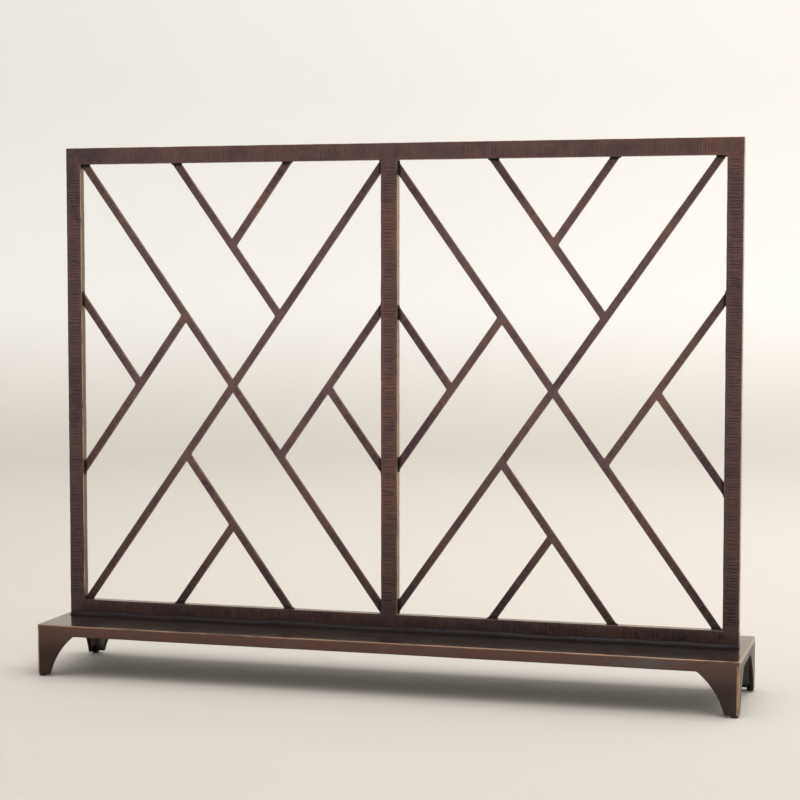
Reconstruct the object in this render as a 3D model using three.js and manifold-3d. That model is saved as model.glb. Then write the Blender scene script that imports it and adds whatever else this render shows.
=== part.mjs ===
// Free-standing fireplace screen: a frame of hammered flat bar that holds two diagonal frets and
// stands, welded, along the middle of a low base with four bracket feet.
// Millimetres. +X is the screen's width, +Y runs from its front to its rear, +Z is up.
// The origin is on the floor, under the middle of the base.

import * as THREE from 'three';
import { mergeVertices } from 'three/addons/utils/BufferGeometryUtils.js';
import Module from 'manifold-3d';

const wasm = await Module();
wasm.setup();

// ---- driving dimensions ----

const overallHeight = 751.5;
const jointGap = 0.3;            // kept between pieces that are welded or rest on each other

const baseLength = 992;
const baseDepth = 190;
const baseTop = 74;              // height of the base's top face above the floor
const plateThickness = 6;
const apronDrop = 15.5;          // top face of the base to the underside of the apron
const apronThickness = 5;
const baseCornerRadius = 4;
const plateEdgeBevel = 1.2;

const footWidth = 19;            // each face of a bracket foot, at the floor
const footArcRadius = 102;       // the concave curve from the foot up to the apron
const footArcDip = 22;           // how far below the floor that curve's centre lies
const padRadius = 5;
const padHeight = 3;
const padInset = 6;              // pad centre to the outer faces of the foot

const frameWidth = 970;
const railWidth = 23.5;
const outerStileWidth = 22;
const centreStileWidth = 23.5;
const frameBarDepth = 13;
const frameBarBevel = 0.8;

const fretBarWidth = 10.4;
const fretBarDepth = 5;
const fretPitch = 142;           // between parallel fret bars, measured along a rail
const leftFretShift = 4.5;       // each fret sits a little towards the middle of the screen
const rightFretShift = -7.5;

const weldLeg = 6;               // height and width of the bead along the foot of the frame

// ---- sizes that follow ----

const panelWidth = (frameWidth - 2 * outerStileWidth - centreStileWidth) / 2;
const panelHeight = overallHeight - baseTop - 2 * railWidth;
const panelTop = overallHeight - railWidth;
const apronUnderside = baseTop - apronDrop;
const apronTop = baseTop - plateThickness - jointGap;

const screen = new THREE.Group();

// ---- materials ----

function metal(color, roughness) {
  return new THREE.MeshStandardMaterial({ color, roughness, metalness: 0.85 });
}

const frameBronze = metal(0x5c4540, 0.55);
const fretBronze = metal(0x594441, 0.5);
const baseBronze = metal(0x4a3530, 0.38);
const weldBronze = metal(0x43373a, 0.5);
const padRubber = new THREE.MeshStandardMaterial({ color: 0x1c1b1a, roughness: 0.9 });

// ---- helpers ----

function add(name, geometry, material) {
  const mesh = new THREE.Mesh(geometry, material);
  mesh.name = name;
  screen.add(mesh);
  return mesh;
}

function toSolid(geometry) {
  const bare = geometry.clone();
  bare.deleteAttribute('normal');
  bare.deleteAttribute('uv');
  const merged = mergeVertices(bare);
  return new wasm.Manifold(new wasm.Mesh({
    numProp: 3,
    vertProperties: new Float32Array(merged.attributes.position.array),
    triVerts: new Uint32Array(merged.index.array),
  }));
}

// The part of the first geometry that lies inside the second.
function intersection(first, second) {
  const mesh = toSolid(first).intersect(toSolid(second)).getMesh();
  const geometry = new THREE.BufferGeometry();
  geometry.setAttribute('position', new THREE.BufferAttribute(mesh.vertProperties, 3));
  geometry.setIndex(new THREE.BufferAttribute(mesh.triVerts, 1));
  geometry.computeVertexNormals();
  return geometry;
}

// A rectangle about the origin with bevelled corners.
function bevelledSection(width, depth, bevel) {
  const x = width / 2;
  const y = depth / 2;
  const section = new THREE.Shape();
  section.moveTo(-x + bevel, -y);
  section.lineTo(x - bevel, -y);
  section.lineTo(x, -y + bevel);
  section.lineTo(x, y - bevel);
  section.lineTo(x - bevel, y);
  section.lineTo(-x + bevel, y);
  section.lineTo(-x, y - bevel);
  section.lineTo(-x, -y + bevel);
  section.closePath();
  return section;
}

// A rectangle about the origin with round corners.
function roundedSection(width, depth, radius) {
  const x = width / 2 - radius;
  const y = depth / 2 - radius;
  const section = new THREE.Shape();
  section.absarc(x, -y, radius, -Math.PI / 2, 0);
  section.absarc(x, y, radius, 0, Math.PI / 2);
  section.absarc(-x, y, radius, Math.PI / 2, Math.PI);
  section.absarc(-x, -y, radius, Math.PI, 1.5 * Math.PI);
  section.closePath();
  return section;
}

// An outline drawn across and up, made into a plate that is centred on y = 0.
function uprightPlate(outline, thickness) {
  const plate = new THREE.ExtrudeGeometry(outline, {
    depth: thickness,
    bevelEnabled: false,
    curveSegments: 10,
  });
  plate.rotateX(Math.PI / 2);
  plate.translate(0, thickness / 2, 0);
  return plate;
}

// ---- frame ----

// A length of flat bar along Z, standing on z = 0.
function frameBar(length, width) {
  return new THREE.ExtrudeGeometry(bevelledSection(width, frameBarDepth, frameBarBevel), {
    depth: length,
    bevelEnabled: false,
  });
}

function addRail(name, bottom, top) {
  const rail = frameBar(frameWidth, top - bottom);
  rail.rotateY(Math.PI / 2);
  const mesh = add(name, rail, frameBronze);
  mesh.position.set(-frameWidth / 2, 0, (bottom + top) / 2);
}

function addStile(name, x, width) {
  const mesh = add(name, frameBar(panelHeight - 2 * jointGap, width), frameBronze);
  mesh.position.set(x, 0, baseTop + railWidth + jointGap);
}

function addFrame() {
  const outerStile = (frameWidth - outerStileWidth) / 2;
  addRail('top_rail', panelTop, overallHeight);
  addRail('bottom_rail', baseTop + jointGap, baseTop + railWidth);
  addStile('left_stile', -outerStile, outerStileWidth);
  addStile('centre_stile', 0, centreStileWidth);
  addStile('right_stile', outerStile, outerStileWidth);
}

// ---- frets ----

// A fret is drawn in its panel, x to the right and y down from the panel's top-left corner.
// Falling bars run parallel to the diagonal from that corner, and rising bars parallel to the
// other diagonal. An offset moves a bar along the rail.
const diagonal = Math.hypot(panelWidth, panelHeight);

const families = {
  falling: (x, y, offset) => ((x - offset) * panelHeight - y * panelWidth) / diagonal,
  rising: (x, y, offset) => ((x - panelWidth - offset) * panelHeight + y * panelWidth) / diagonal,
};

// stop is the bar that a bar is cut to lie against: its family, its offset, and 1 where the cut
// bar lies to the right of it or -1 where it lies to the left.
const fretBars = [
  { name: 'long_diagonal', family: 'falling', offset: 0 },
  { name: 'upper_half_diagonal', family: 'rising', offset: 0, stop: ['falling', 0, 1] },
  { name: 'lower_half_diagonal', family: 'rising', offset: 0, stop: ['falling', 0, -1] },
  { name: 'top_bar', family: 'falling', offset: fretPitch, stop: ['rising', 0, -1] },
  { name: 'top_branch', family: 'rising', offset: -fretPitch, stop: ['falling', fretPitch, 1] },
  { name: 'left_bar', family: 'rising', offset: -fretPitch, stop: ['falling', 0, -1] },
  { name: 'left_branch', family: 'falling', offset: -fretPitch, stop: ['rising', -fretPitch, -1] },
  { name: 'right_bar', family: 'rising', offset: fretPitch, stop: ['falling', 0, 1] },
  { name: 'right_branch', family: 'falling', offset: fretPitch, stop: ['rising', fretPitch, 1] },
  { name: 'bottom_bar', family: 'falling', offset: -fretPitch, stop: ['rising', 0, 1] },
  { name: 'bottom_branch', family: 'rising', offset: fretPitch, stop: ['falling', -fretPitch, -1] },
];

// The part of a convex polygon where distance(point) is not negative.
function clip(points, distance) {
  const kept = [];
  points.forEach((point, i) => {
    const next = points[(i + 1) % points.length];
    const here = distance(point);
    const there = distance(next);
    if (here >= 0) kept.push(point);
    if ((here >= 0) !== (there >= 0)) kept.push(point.clone().lerp(next, here / (here - there)));
  });
  return kept;
}

function fretBarOutline(bar, shift) {
  const line = (p, family, offset) => families[family](p.x, p.y, offset + shift);
  const left = jointGap;
  const right = panelWidth - jointGap;
  const top = jointGap;
  const bottom = panelHeight - jointGap;
  let outline = [
    new THREE.Vector2(left, top),
    new THREE.Vector2(right, top),
    new THREE.Vector2(right, bottom),
    new THREE.Vector2(left, bottom),
  ];
  outline = clip(outline, (p) => fretBarWidth / 2 - line(p, bar.family, bar.offset));
  outline = clip(outline, (p) => fretBarWidth / 2 + line(p, bar.family, bar.offset));
  if (bar.stop) {
    const [family, offset, side] = bar.stop;
    outline = clip(outline, (p) => side * line(p, family, offset) - fretBarWidth / 2 - jointGap);
  }
  return outline;
}

function addFret(side, panelLeft, shift) {
  for (const bar of fretBars) {
    const outline = fretBarOutline(bar, shift).map((p) => new THREE.Vector2(p.x, -p.y));
    const plate = uprightPlate(new THREE.Shape(outline), fretBarDepth);
    const mesh = add(`${side}_fret_${bar.name}`, plate, fretBronze);
    mesh.position.set(panelLeft, 0, panelTop);
  }
}

// ---- base ----

// Everything in the base stays inside this upright prism, which rounds its four corners.
function baseEnvelope(height, bevel) {
  const section = roundedSection(
    baseLength - 2 * bevel,
    baseDepth - 2 * bevel,
    baseCornerRadius - bevel,
  );
  return new THREE.ExtrudeGeometry(section, {
    depth: height - 2 * bevel,
    bevelEnabled: bevel > 0,
    bevelThickness: bevel,
    bevelSize: bevel,
    bevelSegments: 2,
    curveSegments: 6,
  });
}

function addTopPlate() {
  const slab = baseEnvelope(2 * plateThickness, plateEdgeBevel);
  slab.translate(0, 0, baseTop - 2 * plateThickness + plateEdgeBevel);
  const keptHalf = new THREE.BoxGeometry(2 * baseLength, 2 * baseDepth, plateThickness);
  keptHalf.translate(0, 0, baseTop - plateThickness / 2);
  add('base_top_plate', intersection(slab, keptHalf), baseBronze);
}

// A board with a foot at each end: straight outside, and inside an arc that sweeps up into the
// board's underside. legWidth is how much of the foot's width this board holds.
function apronOutline(length, legWidth) {
  const half = length / 2;
  const footEdge = half - legWidth;
  const low = Math.asin((padHeight + footArcDip) / footArcRadius);
  const high = Math.asin((apronUnderside + footArcDip) / footArcRadius);
  const arcX = footEdge - footArcRadius * Math.cos(low);
  const outline = new THREE.Shape();
  outline.moveTo(-half, padHeight);
  outline.lineTo(-footEdge, padHeight);
  outline.absarc(-arcX, -footArcDip, footArcRadius, Math.PI - low, Math.PI - high, true);
  outline.absarc(arcX, -footArcDip, footArcRadius, high, low, true);
  outline.lineTo(half, padHeight);
  outline.lineTo(half, apronTop);
  outline.lineTo(-half, apronTop);
  outline.closePath();
  return outline;
}

function addLongApron(name, y) {
  const board = uprightPlate(apronOutline(baseLength, footWidth), apronThickness);
  board.translate(0, y, 0);
  add(name, intersection(board, baseEnvelope(baseTop, 0)), baseBronze);
}

function addEndApron(name, x) {
  const room = baseDepth - 2 * (apronThickness + jointGap);
  const legWidth = footWidth - apronThickness - jointGap;
  const board = uprightPlate(apronOutline(room, legWidth), apronThickness);
  board.rotateZ(Math.PI / 2);
  const mesh = add(name, board, baseBronze);
  mesh.position.set(x, 0, 0);
}

function addPads() {
  const height = padHeight - jointGap;
  const x = baseLength / 2 - padInset;
  const y = baseDepth / 2 - padInset;
  for (const [end, side] of [['front', -1], ['rear', 1]]) {
    for (const [hand, across] of [['left', -1], ['right', 1]]) {
      const pad = new THREE.CylinderGeometry(padRadius, padRadius, height, 24);
      pad.rotateX(Math.PI / 2);
      const mesh = add(`foot_pad_${end}_${hand}`, pad, padRubber);
      mesh.position.set(across * x, side * y, height / 2);
    }
  }
}

function addBase() {
  const apronY = (baseDepth - apronThickness) / 2;
  const apronX = (baseLength - apronThickness) / 2;
  addTopPlate();
  addLongApron('base_front_apron', -apronY);
  addLongApron('base_rear_apron', apronY);
  addEndApron('base_left_end_apron', -apronX);
  addEndApron('base_right_end_apron', apronX);
  addPads();
}

// ---- welds between the frame and the base ----

// A convex bead that fills the corner between the bottom rail and the top plate. outward is -1
// for the front bead and 1 for the rear one.
function addWeldBead(name, outward) {
  const section = new THREE.Shape();
  section.moveTo(0, 0);
  section.lineTo(weldLeg, 0);
  section.absarc(0, 0, weldLeg, 0, Math.PI / 2);
  section.closePath();
  const bead = new THREE.ExtrudeGeometry(section, {
    depth: frameWidth,
    bevelEnabled: false,
    curveSegments: 6,
  });
  bead.translate(0, 0, -frameWidth / 2);
  const across = new THREE.Vector3(0, outward, 0);
  const up = new THREE.Vector3(0, 0, 1);
  bead.applyMatrix4(new THREE.Matrix4().makeBasis(across, up, across.clone().cross(up)));
  const mesh = add(name, bead, weldBronze);
  mesh.position.set(0, outward * (frameBarDepth / 2 + jointGap), baseTop + jointGap);
}

addFrame();
addFret('left', -frameWidth / 2 + outerStileWidth, leftFretShift);
addFret('right', centreStileWidth / 2, rightFretShift);
addBase();
addWeldBead('front_weld_bead', -1);
addWeldBead('rear_weld_bead', 1);

export default screen;
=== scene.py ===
"""The looks of the fireplace screen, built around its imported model.

Hammered bronze bars, ground welds where bars meet, a hand-laid bead along the foot of the frame,
and a smooth dark base that is worn to brass along its edges. Lengths named *_MM are millimetres.
"""

import math

import bmesh
import bpy
import numpy as np
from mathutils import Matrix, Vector


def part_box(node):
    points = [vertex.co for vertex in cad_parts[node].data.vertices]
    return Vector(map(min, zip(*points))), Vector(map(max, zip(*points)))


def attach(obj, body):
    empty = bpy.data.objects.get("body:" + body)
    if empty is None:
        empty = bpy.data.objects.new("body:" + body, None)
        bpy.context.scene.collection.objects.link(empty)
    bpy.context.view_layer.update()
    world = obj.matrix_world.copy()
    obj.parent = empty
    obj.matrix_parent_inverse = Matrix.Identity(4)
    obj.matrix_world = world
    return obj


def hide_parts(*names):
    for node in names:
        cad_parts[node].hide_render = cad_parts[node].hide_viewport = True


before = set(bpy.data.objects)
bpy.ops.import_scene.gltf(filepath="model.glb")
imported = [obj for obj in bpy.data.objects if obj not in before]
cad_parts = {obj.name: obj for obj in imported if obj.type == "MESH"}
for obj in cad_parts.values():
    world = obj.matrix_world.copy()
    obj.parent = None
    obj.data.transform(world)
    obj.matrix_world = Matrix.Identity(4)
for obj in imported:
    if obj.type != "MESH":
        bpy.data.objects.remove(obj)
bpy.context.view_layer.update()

MM = 0.001
BODY = "root"

# ---- camera ----

CAMERA_PLACE = (0.7935, -2.6952, 0.5829)
CAMERA_YAW = 16.13          # degrees to the left of straight ahead
CAMERA_PITCH = -3.79        # degrees, below level
CAMERA_LENS = 91.24         # mm
CAMERA_SENSOR = 36          # mm wide

# ---- bars ----

OVERLAP_MM = 0.5            # how far a bar's visible end reaches into what it is welded to

STILE_BAR = {
    "radius": 0.55,         # rounding of the long edges
    "step": 0.65,           # between rings of vertices, along the bar
    "side_step": 2.0,       # between vertices, around the bar
    "pitch": 4.2,           # between hammer marks
    "spread": 0.4,          # how uneven that spacing is
    "depth": 0.5,           # of the deepest marks
    "sigma": 0.8,           # half-width of a mark
    "ink": 0.62,            # how dark the marks are inside
    "reach": 10.5,          # half-length of a mark, across the bar
    "shift": 0.0,           # of the marks' middles from the middle of the bar
    "wave": 0.22,           # slow unevenness of the faces
    "rub": 4.5,             # how far the bare metal reaches down the sides from an edge
    "bare": 1.0,            # how bare the edges are, partly wear and partly painted highlight
}
RAIL_BAR = {
    **STILE_BAR,
    "pitch": 3.5,
    "spread": 0.25,
    "depth": 0.3,
    "ink": 0.38,
    "reach": 10,
    "shift": -2.5,
    "rub": 2.0,
}
BOTTOM_RAIL_BAR = {
    **RAIL_BAR,
    "depth": 0.4,
    "ink": 0.6,
    "shift": 0.0,
    "bare": 0.78,
}
FRET_BAR = {
    **STILE_BAR,
    "radius": 0.5,
    "step": 0.6,
    "side_step": 1.4,
    "pitch": 3.0,
    "spread": 0.35,
    "depth": 0.34,
    "sigma": 0.55,
    "ink": 0.45,
    "reach": 5.5,
    "wave": 0.12,
    "rub": 1.4,
}
DARKER_NEAR_FRAME = 0.18    # how much darker a fret bar's colour gets towards the frame
DARKENING_REACH_MM = 100        # and from how far away


# ---- repeatable noise ----

def lattice_value(i, j, k, seed):
    """A repeatable value in [-1, 1] for whole numbers i, j, k."""
    h = i * 374761393 + j * 668265263 + k * 1440662683 + seed * 1274126177
    h = (h ^ (h >> 13)) & 0xFFFFFFFF
    h = (h * 1274126177) & 0xFFFFFFFF
    h = (h ^ (h >> 16)) & 0xFFFFFFFF
    return h / 0x7FFFFFFF - 1.0


def noise(points, cell, seed):
    """Smooth noise in [-1, 1] at each point, with features about a cell across."""
    p = np.asarray(points, float) / np.asarray(cell, float)
    corner = np.floor(p).astype(np.int64)
    t = p - corner
    t = t * t * (3 - 2 * t)
    total = np.zeros(len(p))
    for di, dj, dk in np.ndindex(2, 2, 2):
        weight = (
            (t[:, 0] if di else 1 - t[:, 0])
            * (t[:, 1] if dj else 1 - t[:, 1])
            * (t[:, 2] if dk else 1 - t[:, 2])
        )
        total += weight * lattice_value(corner[:, 0] + di, corner[:, 1] + dj, corner[:, 2] + dk, seed)
    return total


def smoothstep(low, high, value):
    t = np.clip((value - low) / (high - low), 0, 1)
    return t * t * (3 - 2 * t)


# ---- meshes ----

def make_piece(name, points_mm, faces, slot, attributes=None, finish=None):
    """A smooth mesh object in the part's frame, which rides on the part's one body.

    Its material is that of its slot, or the one named by finish."""
    mesh = bpy.data.meshes.new(name)
    mesh.from_pydata((np.asarray(points_mm) * MM).tolist(), [], faces)
    for key, values in (attributes or {}).items():
        layer = mesh.attributes.new(key, "FLOAT", "POINT")
        layer.data.foreach_set("value", np.asarray(values, np.float32))
    tidy = bmesh.new()
    tidy.from_mesh(mesh)
    bmesh.ops.remove_doubles(tidy, verts=tidy.verts, dist=2e-7)
    bmesh.ops.recalc_face_normals(tidy, faces=tidy.faces)
    tidy.to_mesh(mesh)
    tidy.free()
    mesh.shade_smooth()
    mesh.set_sharp_from_angle(angle=math.radians(40))
    piece = bpy.data.objects.new(name, mesh)
    bpy.context.scene.collection.objects.link(piece)
    piece.data.materials.append(MATERIALS[finish or slot])
    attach(piece, BODY)
    return piece


def tube_faces(rings, around, capped=True, closed=False):
    """Quads between successive rings of vertices, with an end face on each open end."""
    faces = []
    for r in range(rings if closed else rings - 1):
        low = r * around
        high = ((r + 1) % rings) * around
        for i in range(around):
            j = (i + 1) % around
            faces.append((low + i, low + j, high + j, high + i))
    if capped and not closed:
        faces.append(tuple(reversed(range(around))))
        faces.append(tuple(range((rings - 1) * around, rings * around)))
    return faces


CORNER_STEPS = 4            # faces round each long edge


def rounded_section(width, depth, radius, step):
    """Points, outward normals and an edge weight round a rectangle with rounded corners."""
    points, normals, edges = [], [], []
    corners = [(1, -1, -90), (1, 1, 0), (-1, 1, 90), (-1, -1, 180)]
    for index, (sx, sy, start) in enumerate(corners):
        centre = np.array([sx * (width / 2 - radius), sy * (depth / 2 - radius)])
        for k in range(CORNER_STEPS + 1):
            angle = math.radians(start + 90 * k / CORNER_STEPS)
            normal = np.array([math.cos(angle), math.sin(angle)])
            points.append(centre + radius * normal)
            normals.append(normal)
            edges.append(math.sin(math.pi * k / CORNER_STEPS))
        end = points[-1]
        next_x, next_y, _ = corners[(index + 1) % 4]
        next_centre = np.array([next_x * (width / 2 - radius), next_y * (depth / 2 - radius)])
        side_normal = normals[-1]
        target = next_centre + radius * side_normal
        count = max(1, round(np.linalg.norm(target - end) / step))
        for k in range(1, count):
            points.append(end + (target - end) * k / count)
            normals.append(side_normal)
            edges.append(0.0)
    return np.array(points), np.array(normals), np.array(edges)


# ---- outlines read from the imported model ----

def node_outline(name):
    """The node's outline seen from the front, as x, z points in millimetres, anticlockwise."""
    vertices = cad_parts[name].data.vertices
    flat = sorted({(round(v.co.x / MM, 3), round(v.co.z / MM, 3)) for v in vertices})
    hull = []
    for row in (flat, flat[::-1]):
        side = []
        for x, z in row:
            while len(side) > 1:
                (x0, z0), (x1, z1) = side[-2:]
                if (x1 - x0) * (z - z0) - (z1 - z0) * (x - x0) > 0.01:
                    break
                side.pop()
            side.append((x, z))
        hull += side[:-1]
    return np.array(hull)


def bar_axes(outline):
    """Origin, direction along, direction across and half-width of a bar's outline."""
    edges = np.roll(outline, -1, axis=0) - outline
    lengths = np.linalg.norm(edges, axis=1)
    along = edges[lengths.argmax()] / lengths.max()
    if along @ (1, 0.2) < 0:
        along = -along
    across = np.array([-along[1], along[0]])
    reach = outline @ across
    origin = across * (reach.max() + reach.min()) / 2
    return origin, along, across, (reach.max() - reach.min()) / 2


def cut_range(outline, origin, along, across, offsets):
    """Where lines parallel to a bar enter and leave its outline, as distances along it."""
    start = np.full(len(offsets), -np.inf)
    end = np.full(len(offsets), np.inf)
    for corner, following in zip(outline, np.roll(outline, -1, axis=0)):
        edge = following - corner
        if np.linalg.norm(edge) < 1e-6:
            continue
        inward = np.array([-edge[1], edge[0]]) / np.linalg.norm(edge)
        slope = inward @ along
        if abs(slope) < 0.05:
            continue
        base = (origin + offsets[:, None] * across - corner) @ inward
        crossing = -base / slope
        if slope > 0:
            start = np.maximum(start, crossing)
        else:
            end = np.minimum(end, crossing)
    return start, end


# ---- hammered bars ----

def hammer_marks(length, style, rng):
    """Marks spaced unevenly along one face: place, offset across, reach, tilt, bow and depth."""
    places = []
    at = style["pitch"] * rng.random()
    while at < length:
        places.append(at)
        at += style["pitch"] * (1 + style["spread"] * rng.uniform(-1, 1))
    n = len(places)
    return np.column_stack([
        places,
        rng.normal(style["shift"], style["reach"] * 0.12, n),
        style["reach"] * rng.uniform(0.7, 1.15, n),
        rng.normal(0, 0.05, n),
        rng.normal(0, 0.004, n),
        style["depth"] * rng.uniform(0.45, 1.0, n),
    ])


def mark_depth(along, across, marks, style):
    """How deep the hammer marks are at each vertex of a face (rings by columns)."""
    depth = np.zeros_like(along)
    ring_place = along.mean(axis=1)
    slack = np.ptp(along, axis=1).max() + 4 * style["sigma"] + 1.0
    for place, offset, reach, tilt, bow, deepest in marks:
        low, high = np.searchsorted(ring_place, (place - slack, place + slack))
        if low == high:
            continue
        side = across[low:high] - offset
        x = (along[low:high] - place - tilt * side - bow * side**2) / style["sigma"]
        ends = 1 - smoothstep(0.6, 1.0, np.abs(side) / reach)
        depth[low:high] += deepest * (1 - x**2 / 2) * np.exp(-(x**2) / 2) * ends
    return depth


def bar_rings(length, style):
    """Shares of a bar's length at which it has a ring of vertices, closer together at its ends."""
    ends = style["radius"] * (1 - np.cos(np.radians((0, 30, 50, 70, 90)))) / length
    count = int(length / style["step"])
    middle = np.linspace(ends[-1], 1 - ends[-1], count)
    return np.concatenate([ends[:-1], middle, 1 - ends[-2::-1]])


def end_inset(from_end, radius):
    """How far the sides draw in near a free end, so that its edges are rounded."""
    within = np.clip(radius - from_end, 0, radius)
    return radius - np.sqrt(radius**2 - within**2)


def face_marks(node_faces, distance, across, length, style, rng):
    """Hammer marks on two opposite faces, each with its own set of marks."""
    total = np.zeros_like(distance)
    for on_face in node_faces:
        marks = hammer_marks(length, style, rng)
        total += on_face[None, :] * mark_depth(distance, across, marks, style)
    return total


def rubbed_bare(section, normals, edge, half_width, half_depth, across, style):
    """How bare the metal is round a bar's section, most on edges that face up or right: partly wear, partly a
    painted highlight where the light falls.
    """
    on_side = np.abs(normals[:, 0]) > 0.8
    from_corner = np.where(on_side, half_depth - np.abs(section[:, 1]), half_width - np.abs(section[:, 0]))
    width = np.where(on_side, style["rub"], 1.0)
    bare = np.maximum(edge, 1 - smoothstep(0.3, 1.0, from_corner / width))
    # Edges facing up or right, where the light falls, get the full amount: painted highlight over the wear.
    facing_up_or_right = normals[:, 0] * across.sum() > -0.05
    facing_up_or_right &= section[:, 0] * across.sum() > 0
    return style["bare"] * bare * np.where(facing_up_or_right, 1.0, 0.74)


def hammered_bar(node, style, slot, seed, tone_at, free_ends=False, plain_spots=(), darkened_near=()):
    """Replaces a CAD bar with one that has rounded edges, uneven faces and hammer marks.

    tone_at gives how light the colour is at x, z places; on the frame it is partly painted light.
    plain_spots are (distance along, half-length) of the stretches that are ground smooth, and the
    last argument holds the outlines of the bars it meets: painted shade darkens the crease against
    them, and the colour darkens gradually towards them."""
    outline = node_outline(node)
    origin, along, across, half_width = bar_axes(outline)
    low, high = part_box(node)
    depth = (high.y - low.y) / MM
    section, normals, edge = rounded_section(2 * half_width, depth, style["radius"], style["side_step"])
    start, end = cut_range(outline, origin, along, across, section[:, 0] * 0.999)
    overlap = 0 if free_ends else OVERLAP_MM
    start -= overlap
    end += overlap
    length = end.max() - start.min()
    t = bar_rings(length, style)[:, None]
    rings = len(t)
    distance = start + (end - start) * t
    offset = np.broadcast_to(section[:, 0], distance.shape)
    depth_y = np.broadcast_to(section[:, 1], distance.shape)

    rng = np.random.default_rng(seed)
    place = distance - start.min()
    wide_faces = [(sign * normals[:, 1] > 0.5) * 1.0 for sign in (-1, 1)]
    side_faces = [(sign * normals[:, 0] > 0.8) * 0.45 for sign in (-1, 1)]
    marks = face_marks(wide_faces, place, offset, length, style, rng)
    marks += face_marks(side_faces, place, depth_y, length, style, rng)
    calm = np.ones_like(distance)
    for spot, half in plain_spots:
        calm *= smoothstep(half, half + 6, np.abs(distance - spot))
    marks *= calm

    flat = np.column_stack([distance.ravel(), offset.ravel(), depth_y.ravel()])
    wave = style["wave"] * (noise(flat, 26, seed) + 0.5 * noise(flat, 7, seed + 1))
    nicks = 0.5 * style["wave"] * noise(flat, 3.1, seed + 2) * np.tile(edge, rings)
    push = (wave + nicks) * (0.2 + 0.8 * calm.ravel()) - marks.ravel()
    if free_ends:
        from_end = np.minimum(distance - start, end - distance)
        push -= end_inset(from_end, style["radius"]).ravel()

    flat[:, 1] += push * np.tile(normals[:, 0], rings)
    flat[:, 2] += push * np.tile(normals[:, 1], rings)
    plane = origin + flat[:, :1] * along + flat[:, 1:2] * across
    middle_y = (high.y + low.y) / 2 / MM
    points = np.column_stack([plane[:, 0], middle_y + flat[:, 2], plane[:, 1]])
    dark = style["ink"] * marks.ravel() / style["depth"]
    # Painted shade in the crease against the frame, then a gradual darkening towards it.
    for other in darkened_near:
        dark = np.maximum(dark, 0.5 * (1 - smoothstep(1, 6, outline_distance(plane, other))))
    if darkened_near:
        from_frame = np.min([outline_distance(plane, other) for other in darkened_near], axis=0)
        dark = dark + DARKER_NEAR_FRAME * (1 - smoothstep(0, DARKENING_REACH_MM, from_frame))
    piece = make_piece(
        node + "_hammered",
        points,
        tube_faces(rings, len(section)),
        slot,
        {
            "hollows_and_shade": dark,
            "edge": np.tile(rubbed_bare(section, normals, edge, half_width, depth / 2, across, style), rings),
            "tone": tone_at(plane),
        },
    )
    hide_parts(node)


def spots_on(node, centres, half):
    """Where on a bar the welds lie, as distances along it, each with the half-length to grind."""
    outline = node_outline(node)
    _, along, _, _ = bar_axes(outline)
    near = [c for c in centres if outline_distance(c[None, :], outline)[0] < half]
    return [(c @ along, half) for c in near]


# ---- ground welds, where one bar meets another ----

WELD_PROUD_MM = 0.07        # a weld stands this far above the bars it joins
WELD_SUNK_MM = 0.7          # and its rim ends this far inside them
SEAM_PROUD_MM = -0.3        # where a seam still shows, the weld stays below the bars
FRAME_WELD = {
    "reach": 12,            # from its middle to its rim
    "fillet": 1.2,          # how far inner corners are filled in
    "radius": 0.55,         # rounding of its long edges
}
FRET_WELD = {
    "reach": 10,
    "fillet": 1.8,
    "radius": 0.5,
}


def outline_distance(points, outline):
    """Signed distance from each 2-D point to a convex outline, negative inside."""
    distance = np.full(len(points), -np.inf)
    for corner, following in zip(outline, np.roll(outline, -1, axis=0)):
        edge = following - corner
        if np.linalg.norm(edge) < 1e-6:
            continue
        outward = np.array([edge[1], -edge[0]]) / np.linalg.norm(edge)
        distance = np.maximum(distance, (points - corner) @ outward)
    return distance


def blended_distance(points, outlines, fillet):
    """Distance to several outlines at once, with the corners between them filled in."""
    total = outline_distance(points, outlines[0])
    for outline in outlines[1:]:
        other = outline_distance(points, outline)
        mix = np.clip(0.5 + 0.5 * (other - total) / fillet, 0, 1)
        total = other * (1 - mix) + total * mix - fillet * mix * (1 - mix)
    return total


def weld_lift(distance, reach, proud):
    """How far the weld's skin stands above the bars, by distance from its middle."""
    return proud - (proud + WELD_SUNK_MM) * smoothstep(0.6 * reach, reach, distance)


def ground_weld(name, centre, outlines, depth, style, seed, slot, tone_at, proud=WELD_PROUD_MM):
    """A smooth skin over the place where bars meet, with their inner corners filled in."""
    reach, radius = style["reach"], style["radius"]
    columns = 168
    angles = np.linspace(0, 2 * math.pi, columns, endpoint=False)
    spokes = np.column_stack([np.cos(angles), np.sin(angles)])
    steps = np.arange(0, reach + 0.01, 0.04)
    probe = centre + spokes[:, None, :] * steps[None, :, None]
    outside = blended_distance(probe.reshape(-1, 2), outlines, style["fillet"]).reshape(columns, -1)
    outside -= weld_lift(steps, reach, proud)[None, :]
    outside[:, -1] = 1.0
    rim = steps[(outside > 0).argmax(axis=1)]

    skin = [((rim - radius) * t, 0.0) for t in np.linspace(0.06, 1, 16)]
    for angle in np.radians((22.5, 45, 67.5, 90)):
        skin.append((rim - radius * (1 - math.sin(angle)), radius * (1 - math.cos(angle))))
    rings = []
    for side in (-1, 1):
        for distance, drop in skin[::-side]:
            height = depth / 2 + weld_lift(distance, reach, proud) - drop
            flat = centre + spokes * distance[:, None]
            rings.append(np.column_stack([flat[:, 0], side * height, flat[:, 1]]))
    points = np.concatenate(rings)
    points[:, 1] += np.sign(points[:, 1]) * 0.06 * noise(points, 3.5, seed)
    make_piece(name, points, tube_faces(len(rings), columns), slot, {"tone": tone_at(points[:, ::2])})


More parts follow.
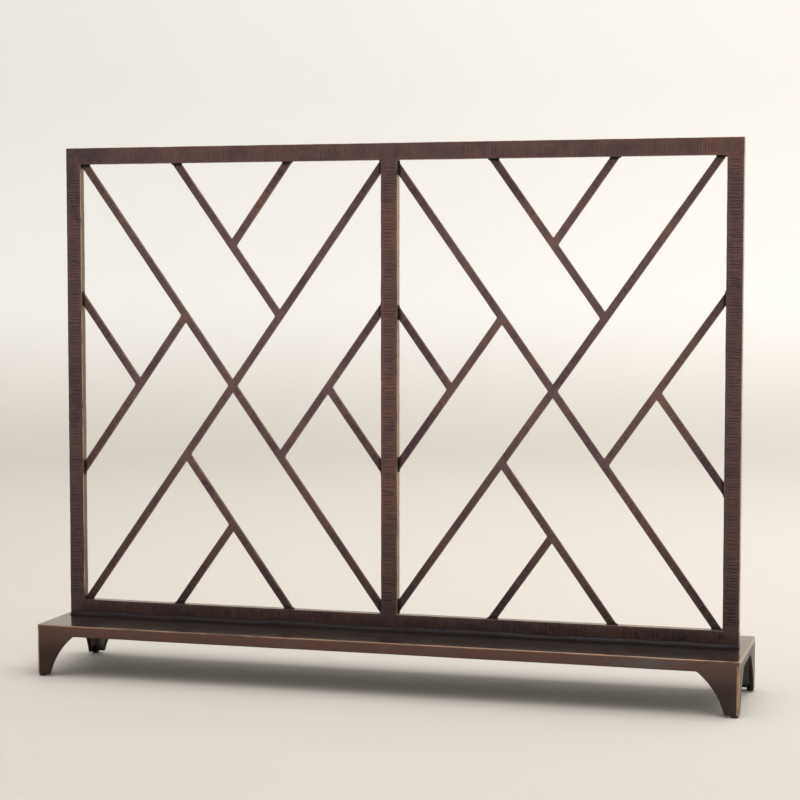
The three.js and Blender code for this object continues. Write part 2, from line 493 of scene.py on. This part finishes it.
def welded_joints(nodes, reach):
    """Places where the cut end of one bar lies against another, merged where they are close."""
    outlines = {node: node_outline(node) for node in nodes}
    places = []
    for node, outline in outlines.items():
        origin, along, across, _ = bar_axes(outline)
        start, end = cut_range(outline, origin, along, across, np.zeros(1))
        for distance in (start[0] - OVERLAP_MM, end[0] + OVERLAP_MM):
            tip = origin + distance * along
            for other, shape in outlines.items():
                if other != node and outline_distance(tip[None, :], shape)[0] < 0.2:
                    places.append(tip)
    merged = []
    for place in places:
        near = [group for group in merged if np.linalg.norm(np.mean(group, axis=0) - place) < reach]
        if near:
            near[0].append(place)
        else:
            merged.append([place])
    centres = [np.mean(group, axis=0) for group in merged]
    return outlines, centres


# ---- weld beads, where the end of a fret bar meets the frame ----

def bead_loop(node, frame_outlines):
    """For each end of a fret bar that meets the frame, the corners of its cut in the x, z plane."""
    outline = node_outline(node)
    cuts = []
    chain = []
    for corner, following in zip(outline, np.roll(outline, -1, axis=0)):
        middle = (corner + following) / 2
        touching = any(outline_distance(middle[None, :], f)[0] < 0.6 for f in frame_outlines)
        if touching and np.linalg.norm(following - corner) > 0.5:
            chain.append((corner, following))
    for corner, following in chain:
        joined = [cut for cut in cuts if np.linalg.norm(cut[-1] - corner) < 1e-3]
        before = [cut for cut in cuts if np.linalg.norm(cut[0] - following) < 1e-3]
        if joined:
            joined[0].append(following)
        elif before:
            before[0].insert(0, corner)
        else:
            cuts.append([corner, following])
    return cuts


def end_bead(cut, half_depth, seed):
    """A lumpy bead run all the way round the end of a bar, along the corners of its cut."""
    front = [np.array([p[0], -half_depth, p[1]]) for p in cut]
    rear = [np.array([p[0], half_depth, p[1]]) for p in reversed(cut)]
    corners = np.array(front + rear)
    path = []
    for corner, following in zip(corners, np.roll(corners, -1, axis=0)):
        count = max(2, round(np.linalg.norm(following - corner) / 0.7))
        path.extend(corner + (following - corner) * k / count for k in range(count))
    path = np.array(path)
    for _ in range(3):
        path = 0.5 * path + 0.25 * (np.roll(path, 1, axis=0) + np.roll(path, -1, axis=0))
    ahead = np.roll(path, -1, axis=0) - np.roll(path, 1, axis=0)
    ahead /= np.linalg.norm(ahead, axis=1)[:, None]
    middle = path.mean(axis=0)
    outward = path - middle
    outward -= (outward * ahead).sum(axis=1)[:, None] * ahead
    outward /= np.linalg.norm(outward, axis=1)[:, None]
    side = np.cross(ahead, outward)
    around = 12
    angles = np.linspace(0, 2 * math.pi, around, endpoint=False)[None, :, None]
    ring = outward[:, None, :] * np.cos(angles) + side[:, None, :] * np.sin(angles)
    swell = noise(path, 3.4, seed)
    radius = (1.4 + 0.5 * swell)[:, None, None]
    points = (path[:, None, :] + ring * radius).reshape(-1, 3)
    points += ring.reshape(-1, 3) * (0.22 * noise(points, 1.6, seed + 1))[:, None]
    upward = ring[:, :, 2].ravel()
    # Painted shade on the bead's downward-facing side, and a painted highlight, a lighter tone, on its
    # upward-facing side.
    painted_shade = 0.6 * smoothstep(-0.3, 0.5, -upward)
    tone = 0.3 * smoothstep(0.0, 0.6, upward)
    return points, tube_faces(len(path), around, closed=True), painted_shade, tone


def merge_parts(parts):
    """Joins separate closed shells into one, with the painted shade and the tone, partly a painted highlight,
    at each point.
    """
    points, faces, painted_shade, tone, base = [], [], [], [], 0
    for part_points, part_faces, part_shade, part_tone in parts:
        points.append(part_points)
        painted_shade.append(part_shade)
        tone.append(part_tone)
        faces.extend(tuple(i + base for i in face) for face in part_faces)
        base += len(part_points)
    return np.concatenate(points), faces, {"hollows_and_shade": np.concatenate(painted_shade), "tone": np.concatenate(tone)}


# ---- base ----

BASE = {
    "corner": 4.0,          # rounding of the upright corners
    "plate_edge": 0.8,      # rounding of the top edge
    "apron_edge": 0.9,      # rounding of the aprons' lower edges
    "wall": 5.0,            # thickness of the aprons
    "foot": 19.0,           # width of each face of a foot, at its bottom
    "arc": 102.0,           # radius of the curve from a foot up to the apron
    "arc_dip": 22.0,        # how far below the floor that curve's centre lies
    "arc_end": 7.0,         # rounding where the curve meets the apron's underside
    "underside": 58.5,      # height of the apron's underside
}


def base_sway(points):
    """The slow unevenness of the hand-finished base, the same on every plate that meets there."""
    sway = np.zeros_like(points)
    for axis in range(3):
        for cell, size in (((140, 60, 60), 0.42), ((46, 30, 30), 0.13)):
            sway[:, axis] += size * noise(points, cell, 400 + 10 * axis)
    return points + sway


def side_tone(x):
    """How light the base's upright faces are: they darken towards the right end."""
    return 0.07 - 0.15 * smoothstep(80, 400, x)


def lower_edge(half, foot, bottom):
    """Half of a board's lower edge: places along it, heights and directions into the board."""
    low = math.asin((bottom + BASE["arc_dip"]) / BASE["arc"])
    arc_middle = half - foot - BASE["arc"] * math.cos(low)
    tangent_radius = BASE["arc"] - BASE["arc_end"]
    rise = BASE["underside"] - BASE["arc_end"] + BASE["arc_dip"]
    high = math.asin(rise / tangent_radius)
    round_middle = arc_middle + tangent_radius * math.cos(high)
    rows = []
    for x in np.linspace(0, round_middle, max(2, int(round_middle / 6)), endpoint=False):
        rows.append((x, BASE["underside"], 0, 1))
    for angle in np.linspace(math.pi / 2, high, 7, endpoint=False):
        across, up = math.cos(angle), math.sin(angle)
        middle_z = BASE["underside"] - BASE["arc_end"]
        rows.append((round_middle + BASE["arc_end"] * across, middle_z + BASE["arc_end"] * up, across, up))
    for angle in np.linspace(high, low, 26, endpoint=False):
        across, up = math.cos(angle), math.sin(angle)
        rows.append((arc_middle + BASE["arc"] * across, BASE["arc"] * up - BASE["arc_dip"], across, up))
    across, up = math.cos(low), math.sin(low)
    mitre = 1 + up
    rows.append((half - foot, bottom, across / mitre, 1.0))
    return rows


def board_columns(half_along, half_across, foot, bottom, wraps, thickness):
    """Columns of a board: place in plan, outward normal, lower edge and direction into the board.

    The board faces -Y. One that wraps takes in the base's rounded upright corners."""
    radius = BASE["corner"] if wraps else 0.0
    right = [(np.array([x, -half_across]), np.array([0.0, -1.0]), z, mx, mz)
             for x, z, mx, mz in lower_edge(half_along, foot, bottom)]
    edge = half_along - foot
    stop = half_along - radius
    for x in np.linspace(edge, stop, 6)[1:]:
        right.append((np.array([x, -half_across]), np.array([0.0, -1.0]), bottom, 0, 1))
    if wraps:
        middle = np.array([stop, -half_across + radius])
        for k in range(1, 7):
            angle = math.radians(-90 + 15 * k)
            normal = np.array([math.cos(angle), math.sin(angle)])
            right.append((middle + radius * normal, normal, bottom, 0, 1))
        corner = np.array([half_along, -half_across + thickness])
        right.append((corner, np.array([1.0, 0.0]), bottom, 0, 1))
    flip = np.array([-1.0, 1.0])
    left = [(place * flip, normal * flip, z, -mx, mz) for place, normal, z, mx, mz in right[1:]]
    return left[::-1] + right


def apron(node, half_along, half_across, foot, wraps, turn):
    """Replaces one apron. It is made facing -Y and turned about the base's middle by turn."""
    low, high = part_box(node)
    bottom, top = low.z / MM, high.z / MM + 0.3
    thickness = min(high.x - low.x, high.y - low.y) / MM
    columns = board_columns(half_along, half_across, foot, bottom, wraps, thickness)
    r = BASE["apron_edge"]
    profile = [(r * (1 - math.sin(a)), r * (1 - math.cos(a))) for a in np.radians((0, 22.5, 45, 67.5, 90))]
    rows = [("outer", t) for t in np.linspace(0, 1, 7)[:-1]]
    rows += [("inset", e, q) for e, q in profile]
    rows += [("inset", e, thickness - q) for e, q in profile[::-1]]
    rows += [("inner", t) for t in np.linspace(1, 0, 7)[1:]]
    points, inside = [], []
    for place, normal, z, mx, mz in columns:
        for row in rows:
            if row[0] == "inset":
                inset, depth = row[1], row[2]
                height = z + inset * mz
            else:
                inset = r
                depth = 0 if row[0] == "outer" else thickness
                height = top + (z + r * mz - top) * row[1]
            share = 1.0 if row[0] == "inset" else row[1]
            x, y = place - depth * normal
            x += inset * mx * share
            x = max(-half_along + (depth if wraps else 0), min(half_along - (depth if wraps else 0), x))
            y = max(y, -half_across + depth)
            points.append((x, y, height))
            inside.append(1.0 if row[0] == "inner" else 0.0)
    points = np.array(points)
    # The wrapping aprons' upright corners are bared: partly wear, partly a painted highlight where they catch
    # the light from the right.
    on_corner = np.abs(points[:, 0]) > half_along - BASE["corner"] * 0.75
    edges = on_corner * (0.95 if wraps else 0.0)
    cos, sin = math.cos(turn), math.sin(turn)
    points[:, :2] = points[:, :2] @ np.array([[cos, sin], [-sin, cos]])
    faces = tube_faces(len(columns), len(rows))
    tones = side_tone(points[:, 0])
    layers = {"edge": edges, "inside": inside, "tone": tones}
    # The end aprons take a shaded copy of the base's metal: painted shade that dims the reflection on them.
    finish = "base_bronze" if wraps else "base_bronze_shaded_ends"
    piece = make_piece(node + "_finished", base_sway(points), faces, "base_bronze", layers, finish)
    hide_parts(node)


def plate_path(half_x, half_y):
    """Places and outward normals once round the base's outline, with its corners rounded."""
    radius = BASE["corner"]
    places, normals = [], []
    corners = [(1, 1), (-1, 1), (-1, -1), (1, -1)]
    for index, (sx, sy) in enumerate(corners):
        middle = np.array([sx * (half_x - radius), sy * (half_y - radius)])
        for k in range(7):
            angle = math.radians(90 * index + 15 * k)
            normals.append(np.array([math.cos(angle), math.sin(angle)]))
            places.append(middle + radius * normals[-1])
        next_x, next_y = corners[(index + 1) % 4]
        target = np.array([next_x * (half_x - radius), next_y * (half_y - radius)]) + radius * normals[-1]
        start = places[-1]
        count = round(np.linalg.norm(target - start) / 6)
        for k in range(1, count):
            normals.append(normals[-1])
            places.append(start + (target - start) * k / count)
    return np.array(places), np.array(normals)


def top_plate():
    node = "base_top_plate"
    low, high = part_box(node)
    half_x, half_y = high.x / MM, high.y / MM
    bottom, top = low.z / MM, high.z / MM
    places, normals = plate_path(half_x, half_y)
    r = BASE["plate_edge"]
    rows = [(inset, top, 0.0) for inset in (half_y, 85, 70, 55, 42, 30, 20, 12, 7, 4, 2)]
    # The rounded top edge is bared: partly wear, partly a painted highlight along it.
    for angle in np.radians((0, 22.5, 45, 67.5, 90)):
        rows.append((r * (1 - math.sin(angle)), top - r * (1 - math.cos(angle)), 1.0))
    rows += [(0, bottom + 2.5, 0.1), (0, bottom, 0.0)]
    rows += [(inset, bottom, 0.0) for inset in (2, 5, 12, 30, 60, half_y)]
    points, edges = [], []
    for inset, z, edge in rows:
        ring = places - normals * inset
        ring[:, 0] = np.clip(ring[:, 0], -(half_x - inset), half_x - inset)
        ring[:, 1] = np.clip(ring[:, 1], -(half_y - inset), half_y - inset)
        points.append(np.column_stack([ring, np.full(len(ring), z)]))
        edges.append(np.full(len(ring), edge))
    points = base_sway(np.concatenate(points))
    faces = tube_faces(len(rows), len(places), capped=False)
    from_outline = np.repeat([row[0] for row in rows], len(places))
    rim = smoothstep(0.4, 1.2, top - points[:, 2]) * (1 - smoothstep(0.5, 2.5, from_outline))
    tones = -0.12 + rim * (0.12 + side_tone(points[:, 0]))
    layers = {"edge": np.concatenate(edges), "inside": np.zeros(len(points)), "tone": tones}
    piece = make_piece(node + "_finished", points, faces, "base_bronze", layers)
    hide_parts(node)


def foot_pad(node):
    """A moulded rubber pad with rounded edges."""
    low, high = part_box(node)
    middle = np.array([low.x + high.x, low.y + high.y]) / 2 / MM
    radius = (high.x - low.x) / 2 / MM
    height = high.z / MM
    profile = [(0, 0), (0.5 * radius, 0), (radius - 0.7, 0), (radius - 0.2, 0.25), (radius, 0.8)]
    profile += [(radius, height - 0.5), (radius - 0.4, height), (0, height)]
    angles = np.linspace(0, 2 * math.pi, 40, endpoint=False)
    points = [
        (middle[0] + r * math.cos(a), middle[1] + r * math.sin(a), z)
        for r, z in profile
        for a in angles
    ]
    faces = tube_faces(len(profile), len(angles), capped=False)
    piece = make_piece(node + "_moulded", points, faces, "pad_rubber")
    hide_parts(node)


def foot_bead(node, side, seed):
    """The hand-laid bead in the corner between the frame's foot and the base's top."""
    low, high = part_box(node)
    rail_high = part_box("bottom_rail")[1]
    x = np.arange(low.x / MM, high.x / MM, 1.0)
    corner_y = rail_high.y / MM
    corner_z = low.z / MM
    around = 14
    angles = np.linspace(-0.15, math.pi / 2 + 0.15, around - 1)
    places = np.repeat(x, around - 1)
    turn = np.tile(angles, len(x))
    line = np.column_stack([places, turn * 6, np.zeros(len(places))])
    size = 6.3 + 0.9 * noise(line, (34, 9, 1), seed) + 0.35 * noise(line, (8, 5, 1), seed + 1)
    size += 0.12 * noise(line, (2.2, 9, 1), seed + 2)
    ends = smoothstep(0, 6, np.minimum(places - x[0], x[-1] - places))
    size *= 0.35 + 0.65 * ends
    skin = np.column_stack([
        places,
        side * (corner_y + size * np.cos(turn)),
        corner_z + 1.1 * size * np.sin(turn),
    ])
    core = np.column_stack([x, np.full(len(x), side * (corner_y - 1.0)), np.full(len(x), corner_z - 1.0)])
    points = np.concatenate([skin.reshape(len(x), around - 1, 3), core[:, None, :]], axis=1).reshape(-1, 3)
    share = np.append(angles, math.pi / 2) / (math.pi / 2)
    # Painted shade in the creases along the bead's two rims, and a lighter tone all over it, a painted
    # highlight.
    painted_shade = np.maximum(0.6 * smoothstep(0.8, 1.0, share), 0.25 - 0.25 * smoothstep(0.0, 0.25, share))
    layers = {"hollows_and_shade": np.tile(painted_shade, len(x)), "tone": np.full(len(points), 0.2)}
    piece = make_piece(node + "_laid", points, tube_faces(len(x), around), "weld_bronze", layers)
    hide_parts(node)


# ---- materials ----

class Shading:
    """A node material under construction, with one method for each kind of node it uses."""

    def __init__(self, name):
        self.material = bpy.data.materials.new(name)
        self.material.use_nodes = True
        self.tree = self.material.node_tree
        self.shader = self.tree.nodes["Principled BSDF"]
        self.place = self.tree.nodes.new("ShaderNodeTexCoord").outputs["Object"]

    def feed(self, socket, source):
        if isinstance(source, bpy.types.NodeSocket):
            self.tree.links.new(source, socket)
        else:
            socket.default_value = source

    def noise(self, scale, detail=3.0, distortion=0.0):
        node = self.tree.nodes.new("ShaderNodeTexNoise")
        self.tree.links.new(self.place, node.inputs["Vector"])
        node.inputs["Scale"].default_value = scale
        node.inputs["Detail"].default_value = detail
        node.inputs["Distortion"].default_value = distortion
        return node.outputs["Fac"]

    def attribute(self, key):
        node = self.tree.nodes.new("ShaderNodeAttribute")
        node.attribute_name = key
        return node.outputs["Fac"]

    def height(self):
        node = self.tree.nodes.new("ShaderNodeSeparateXYZ")
        self.tree.links.new(self.place, node.inputs["Vector"])
        return node.outputs["Z"]

    def math(self, operation, a, b=0.0):
        node = self.tree.nodes.new("ShaderNodeMath")
        node.operation = operation
        self.feed(node.inputs[0], a)
        self.feed(node.inputs[1], b)
        return node.outputs["Value"]

    def remap(self, value, low, high, to_low=0.0, to_high=1.0):
        node = self.tree.nodes.new("ShaderNodeMapRange")
        node.interpolation_type = "SMOOTHSTEP"
        for socket, source in zip(node.inputs[:5], (value, low, high, to_low, to_high)):
            self.feed(socket, source)
        return node.outputs["Result"]

    def ramp(self, value, stops):
        node = self.tree.nodes.new("ShaderNodeValToRGB")
        node.color_ramp.interpolation = "EASE"
        while len(node.color_ramp.elements) < len(stops):
            node.color_ramp.elements.new(0.5)
        for element, (place, colour) in zip(node.color_ramp.elements, stops):
            element.position = place
            element.color = (*colour, 1)
        self.tree.links.new(value, node.inputs["Fac"])
        return node.outputs["Color"]

    def blend(self, share, a, b):
        node = self.tree.nodes.new("ShaderNodeMix")
        node.data_type = "RGBA"
        self.feed(node.inputs[0], share)
        self.feed(node.inputs[6], a if isinstance(a, bpy.types.NodeSocket) else (*a, 1))
        self.feed(node.inputs[7], b if isinstance(b, bpy.types.NodeSocket) else (*b, 1))
        return node.outputs[2]

    def bump(self, height, distance):
        node = self.tree.nodes.new("ShaderNodeBump")
        node.inputs["Distance"].default_value = distance
        self.tree.links.new(height, node.inputs["Height"])
        self.tree.links.new(node.outputs["Normal"], self.shader.inputs["Normal"])

    def finish(self, colour, roughness, metallic):
        self.feed(self.shader.inputs["Base Color"], colour)
        self.feed(self.shader.inputs["Roughness"], roughness)
        self.feed(self.shader.inputs["Metallic"], metallic)
        return self.material


def lighter(tones, factor):
    return tuple(tuple(factor * part for part in tone) for tone in tones)


def aged_bronze(
    name, tones, groove, bare_and_glint_colour, bare_and_glint_range, roughness, low_shade, wax, sheen,
    patchy=0.4, contrast=1.0, speckle=0.3, grain=0.00006, bare_and_glint_scale=30, lit_inside=False,
):
    """Chemically darkened bronze under wax: brown blotches, dark grooves, metal bared at edges,
    partly wear and partly a painted highlight.

    The low-down darkening is (height of full darkening, height of none, share): painted shade that darkens
    the colour low down.
    wax is how thick the clear wax is, and sheen the tint of the metal seen at a low angle.
    patchy is the share of small patches in the colour, against large ones, contrast how strong
    the patches are, and speckle how strong the dark specks are. When the inside flag is set,
    surfaces marked "inside" get a pale, less metallic colour: painted light that lifts their shade."""
    s = Shading(name)
    blotch = s.noise(14, 3, 0.8)
    mottle = s.noise(95, 4, 0.4)
    speck = s.noise(620, 3)
    mix = s.math("ADD", s.math("MULTIPLY", blotch, 1 - patchy), s.math("MULTIPLY", mottle, patchy))
    mix = s.math("ADD", s.math("MULTIPLY", mix, contrast), 0.5 - 0.5 * contrast)
    mix = s.math("ADD", mix, s.attribute("tone"))
    colour = s.ramp(mix, [(0.36, tones[0]), (0.48, tones[1]), (0.60, tones[2]), (0.74, tones[3])])
    colour = s.blend(s.remap(speck, 0.35, 0.75, 0.0, speckle), colour, groove)
    # Darker in the hollows of hammer marks, the patina there, and where painted shade is laid: creases at
    # joints and the undersides of welds.
    colour = s.blend(s.remap(s.attribute("hollows_and_shade"), 0.0, 0.6, 0.0, 0.95), colour, groove)
    # Painted shade: the colour darkens low down.
    colour = s.blend(s.remap(s.height(), low_shade[0], low_shade[1], low_shade[2], 0.0), colour, groove)
    # Bare metal at edges: partly wear, partly a painted highlight on edges that catch the light.
    bare_and_glint_noise = s.math("ADD", s.noise(bare_and_glint_scale, 4, 0.6), s.math("MULTIPLY", s.noise(260, 2), 0.25))
    bare = s.remap(bare_and_glint_noise, bare_and_glint_range[0], bare_and_glint_range[1])
    bare = s.math("MULTIPLY", bare, s.remap(s.attribute("edge"), 0.6, 1.0))
    colour = s.blend(bare, colour, bare_and_glint_colour)
    metallic = 0.8
    # Painted light: a pale, less metallic colour lifts the shade on the inner faces.
    if lit_inside:
        inside_lift = s.attribute("inside")
        colour = s.blend(inside_lift, colour, INSIDE_PAINTED_LIGHT)
        metallic = s.remap(inside_lift, 0.0, 1.0, metallic, 0.2)
    shine = s.remap(mottle, 0.3, 0.7, roughness[0], roughness[1])
    shine = s.math("SUBTRACT", shine, s.math("MULTIPLY", bare, 0.08))
    height = s.math("ADD", s.noise(1500, 3), s.math("MULTIPLY", speck, 0.8))
    s.bump(height, grain)
    s.shader.inputs["Specular Tint"].default_value = (*sheen, 1)
    s.shader.inputs["Coat Weight"].default_value = wax
    s.shader.inputs["Coat Roughness"].default_value = 0.12
    s.shader.inputs["Coat IOR"].default_value = 1.35
    return s.finish(colour, shine, metallic)


def base_metal(name, wax, sheen):
    """The smooth patina of the base, hardly mottled, its edges bared: partly wear, partly a painted
    highlight.
    """
    return aged_bronze(
        name, lighter(BASE_TONES, 2.1), NEAR_BLACK, ROSE_BRASS, (0.42, 0.66), (0.17, 0.20),
        BASE_LOW_SHADE, wax, sheen,
        patchy=0.12, contrast=0.45, speckle=0.05, grain=0.000001, bare_and_glint_scale=16, lit_inside=True,
    )


def black_rubber(name):
    s = Shading(name)
    dust = s.noise(300, 3)
    colour = s.ramp(dust, [(0.4, (0.012, 0.011, 0.010)), (0.7, (0.035, 0.031, 0.028))])
    s.bump(s.noise(2500, 2), 0.00004)
    return s.finish(colour, s.remap(dust, 0.3, 0.7, 0.62, 0.8), 0.0)


def pale_plaster(name, floor_tone, wall_tone):
    """The studio's plain paint, lighter up the wall than on the floor."""
    s = Shading(name)
    cloud = s.noise(0.7, 2)
    colour = s.blend(s.remap(s.height(), -0.05, 0.5), floor_tone, wall_tone)
    colour = s.blend(s.remap(cloud, 0.3, 0.7, 0.0, 0.04), colour, (0.4, 0.38, 0.35))
    return s.finish(colour, s.remap(cloud, 0.3, 0.7, 0.75, 0.85), 0.0)


PURPLE_BROWN = (0.056, 0.032, 0.038)
BROWN = (0.082, 0.045, 0.047)
WARM_BROWN = (0.106, 0.055, 0.051)
COPPER_BROWN = (0.142, 0.066, 0.054)
DARK_PURPLE = (0.025, 0.019, 0.018)
DARK_BROWN = (0.048, 0.043, 0.041)
RED_BROWN = (0.052, 0.0265, 0.0225)
NEAR_BLACK = (0.008, 0.005, 0.005)
# BRASS, COPPER and ROSE_BRASS are bare metal at edges, laid on partly as painted highlight.
BRASS = (0.42, 0.30, 0.15)
GREY_PURPLE = (0.046, 0.035, 0.039)
COPPER = (0.30, 0.17, 0.11)
ROSE_BRASS = (0.38, 0.24, 0.16)
# Pale colour painted on the aprons' inner faces: painted light lifting the shade there.
INSIDE_PAINTED_LIGHT = (0.14, 0.135, 0.12)

FRAME_TONES = (PURPLE_BROWN, BROWN, WARM_BROWN, COPPER_BROWN)
FRET_TONES = ((0.070, 0.043, 0.050), (0.098, 0.060, 0.062), (0.122, 0.070, 0.062), (0.165, 0.084, 0.064))
BASE_TONES = (DARK_BROWN, RED_BROWN, RED_BROWN, BROWN)
# Near-black to grey-purple: the dark end is painted shade on welds in the corners where bars meet, the
# grey-purple end a painted highlight on welds that face up.
WELD_TONES = (NEAR_BLACK, DARK_PURPLE, GREY_PURPLE, GREY_PURPLE)

# Painted shade low down: heights in metres of full darkening and of none, and its strength.
FRAME_LOW_SHADE = (0.060, 0.40, 0.50)
BASE_LOW_SHADE = (0.030, 0.072, 0.72)

MATERIALS = {
    "frame_bronze": aged_bronze(
        "frame_bronze", lighter(FRAME_TONES, 1.4), NEAR_BLACK, BRASS, (0.42, 0.72), (0.38, 0.48),
        FRAME_LOW_SHADE, 0.75, (1.0, 0.82, 0.60),
    ),
    "fret_bronze": aged_bronze(
        "fret_bronze", lighter(FRET_TONES, 1.78), NEAR_BLACK, COPPER, (0.50, 0.80), (0.40, 0.50),
        FRAME_LOW_SHADE, 0.35, (0.50, 0.44, 0.38),
    ),
    "base_bronze": base_metal("base_bronze", 0.5, (0.64, 0.55, 0.45)),
    # A shaded copy of the base's metal for the end aprons: less wax and a dark sheen, painted shade dimming
    # their reflection.
    "base_bronze_shaded_ends": base_metal("base_bronze_shaded_ends", 0.1, (0.20, 0.135, 0.10)),
    "weld_bronze": aged_bronze(
        "weld_bronze", lighter(WELD_TONES, 1.2), NEAR_BLACK, BRASS, (0.5, 0.7), (0.54, 0.66),
        FRAME_LOW_SHADE, 0.15, (0.55, 0.48, 0.44),
    ),
    "pad_rubber": black_rubber("pad_rubber"),
}


# ---- studio ----

ROOM_RADIUS = 4.6
COVE_RADIUS = 1.2
WALL_HEIGHT = 4.2


def studio():
    """A round pale floor that curves up into a pale wall, open to the sky."""
    profile = [(r, 0.0) for r in (0.001, 1.0, 2.0, 3.0)]
    for angle in np.linspace(-math.pi / 2, 0, 13):
        out = ROOM_RADIUS - COVE_RADIUS + COVE_RADIUS * math.cos(angle)
        profile.append((out, COVE_RADIUS + COVE_RADIUS * math.sin(angle)))
    profile.append((ROOM_RADIUS, WALL_HEIGHT))
    around = 96
    points = [
        (r * math.cos(2 * math.pi * k / around), r * math.sin(2 * math.pi * k / around), z)
        for r, z in profile
        for k in range(around)
    ]
    faces = tube_faces(len(profile), around, capped=False)
    faces.append(tuple(range(around)))
    mesh = bpy.data.meshes.new("studio_floor")
    mesh.from_pydata(points, [], faces)
    mesh.shade_smooth()
    floor = bpy.data.objects.new("studio_floor", mesh)
    bpy.context.scene.collection.objects.link(floor)
    mesh.materials.append(pale_plaster("studio_plaster", (0.54, 0.51, 0.465), (0.745, 0.735, 0.72)))


def softbox(name, place, target, size, power):
    """A rectangular lamp that faces a target."""
    light = bpy.data.lights.new(name, "AREA")
    light.shape = "RECTANGLE"
    light.size, light.size_y = size
    light.energy = power
    light.color = (1, 0.98, 0.95)
    lamp = bpy.data.objects.new(name, light)
    lamp.location = place
    lamp.rotation_euler = (Vector(target) - Vector(place)).to_track_quat("-Z", "Y").to_euler()
    bpy.context.scene.collection.objects.link(lamp)


def sky():
    world = bpy.data.worlds.new("soft_sky")
    world.use_nodes = True
    background = world.node_tree.nodes["Background"]
    background.inputs["Color"].default_value = (1.0, 0.985, 0.965, 1)
    background.inputs["Strength"].default_value = 1.0
    bpy.context.scene.world = world


def camera():
    lens = bpy.data.cameras.new("main_camera")
    lens.lens = CAMERA_LENS
    lens.sensor_width = CAMERA_SENSOR
    lens.clip_end = 50
    eye = bpy.data.objects.new("main_camera", lens)
    eye.location = CAMERA_PLACE
    eye.rotation_euler = (math.radians(90 + CAMERA_PITCH), 0, math.radians(CAMERA_YAW))
    bpy.context.scene.collection.objects.link(eye)
    bpy.context.scene.camera = eye


# ---- putting it together ----

FRAME_STYLES = {
    "top_rail": RAIL_BAR,
    "bottom_rail": BOTTOM_RAIL_BAR,
    "left_stile": STILE_BAR,
    "centre_stile": STILE_BAR,
    "right_stile": STILE_BAR,
}


def even_tone(places):
    return np.zeros(len(places))


def frame_tone(places):
    """How light the frame is painted: lightest on the centre stile and darker on the left one,
    painted light falling from the front middle; darkest at top left and lighter at top right.
    """
    x, z = places[:, 0], places[:, 1]
    low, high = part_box("top_rail")
    left, right, top = low.x / MM, high.x / MM, high.z / MM
    panel_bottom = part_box("bottom_rail")[1].z / MM
    on_stiles = smoothstep(10, 80, np.minimum(z - panel_bottom, low.z / MM - z))
    stiles = 0.10 * (np.abs(x) < 14) - 0.08 * (x < left + 24) - 0.02 * (x > right - 24)
    dark_corner = 1 - smoothstep(20, 90, np.hypot(x - left, z - top))
    light_corner = 1 - smoothstep(20, 110, np.hypot(x - right, z - top))
    return 0.03 + on_stiles * stiles - 0.22 * dark_corner + 0.09 * light_corner


def build_frame():
    outlines, centres = welded_joints(FRAME_STYLES, 17)
    low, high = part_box("top_rail")
    depth = (high.y - low.y) / MM
    right, top = high.x / MM, high.z / MM
    seams = [centre for centre in centres if np.hypot(centre[0] - right, centre[1] - top) < 50]
    ground = [centre for centre in centres if not any(centre is seam for seam in seams)]
    for index, (node, style) in enumerate(FRAME_STYLES.items()):
        free_ends = node.endswith("rail")
        spots = spots_on(node, ground, 4)
        hammered_bar(node, style, "frame_bronze", 100 + index, frame_tone, free_ends, spots)
    for index, centre in enumerate(centres):
        near = [o for o in outlines.values() if outline_distance(centre[None, :], o)[0] < 10]
        seam_shows = any(centre is seam for seam in seams)
        ground_weld(
            f"frame_ground_weld_{index + 1}", centre, near, depth, FRAME_WELD, 150 + index,
            "frame_bronze", frame_tone, SEAM_PROUD_MM if seam_shows else WELD_PROUD_MM,
        )
    return list(outlines.values())


def build_fret(side, frame_outlines, seed):
    nodes = sorted(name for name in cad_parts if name.startswith(side + "_fret_"))
    outlines, centres = welded_joints(nodes, 11)
    low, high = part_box(nodes[0])
    depth = (high.y - low.y) / MM
    beads = []
    for index, node in enumerate(nodes):
        spots = spots_on(node, centres, 5)
        hammered_bar(node, FRET_BAR, "fret_bronze", seed + index, even_tone, False, spots, frame_outlines)
        for cut in bead_loop(node, frame_outlines):
            beads.append(end_bead(cut, depth / 2, seed + 50 + 2 * len(beads)))
    for index, centre in enumerate(centres):
        near = [o for o in outlines.values() if outline_distance(centre[None, :], o)[0] < 9]
        name = f"{side}_fret_ground_weld_{index + 1}"
        ground_weld(name, centre, near, depth, FRET_WELD, seed + 100 + index, "fret_bronze", even_tone)
    points, faces, layers = merge_parts(beads)
    make_piece(f"{side}_fret_end_beads", points, faces, "weld_bronze", layers)


def build_base():
    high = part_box("base_top_plate")[1]
    half_x, half_y = high.x / MM, high.y / MM
    wall = BASE["wall"]
    foot = BASE["foot"]
    apron("base_front_apron", half_x, half_y, foot, True, 0)
    apron("base_rear_apron", half_x, half_y, foot, True, math.pi)
    apron("base_right_end_apron", half_y - wall, half_x, foot - wall, False, math.pi / 2)
    apron("base_left_end_apron", half_y - wall, half_x, foot - wall, False, -math.pi / 2)
    top_plate()
    foot_bead("front_weld_bead", -1, 501)
    foot_bead("rear_weld_bead", 1, 511)
    for end in ("front", "rear"):
        for side in ("left", "right"):
            foot_pad(f"foot_pad_{end}_{side}")


frame_outlines = build_frame()
build_fret("left", frame_outlines, 200)
build_fret("right", frame_outlines, 300)
build_base()
studio()
sky()
softbox("key_above", (0.9, -0.7, 3.9), (0, 0, 0.4), (3.6, 3.2), 90)
softbox("wall_wash_rear_right", (1.6, 1.2, 3.4), (1.5, 4.4, 0.7), (2.0, 1.2), 80)
camera()
bpy.context.scene.view_settings.view_transform = "Standard"
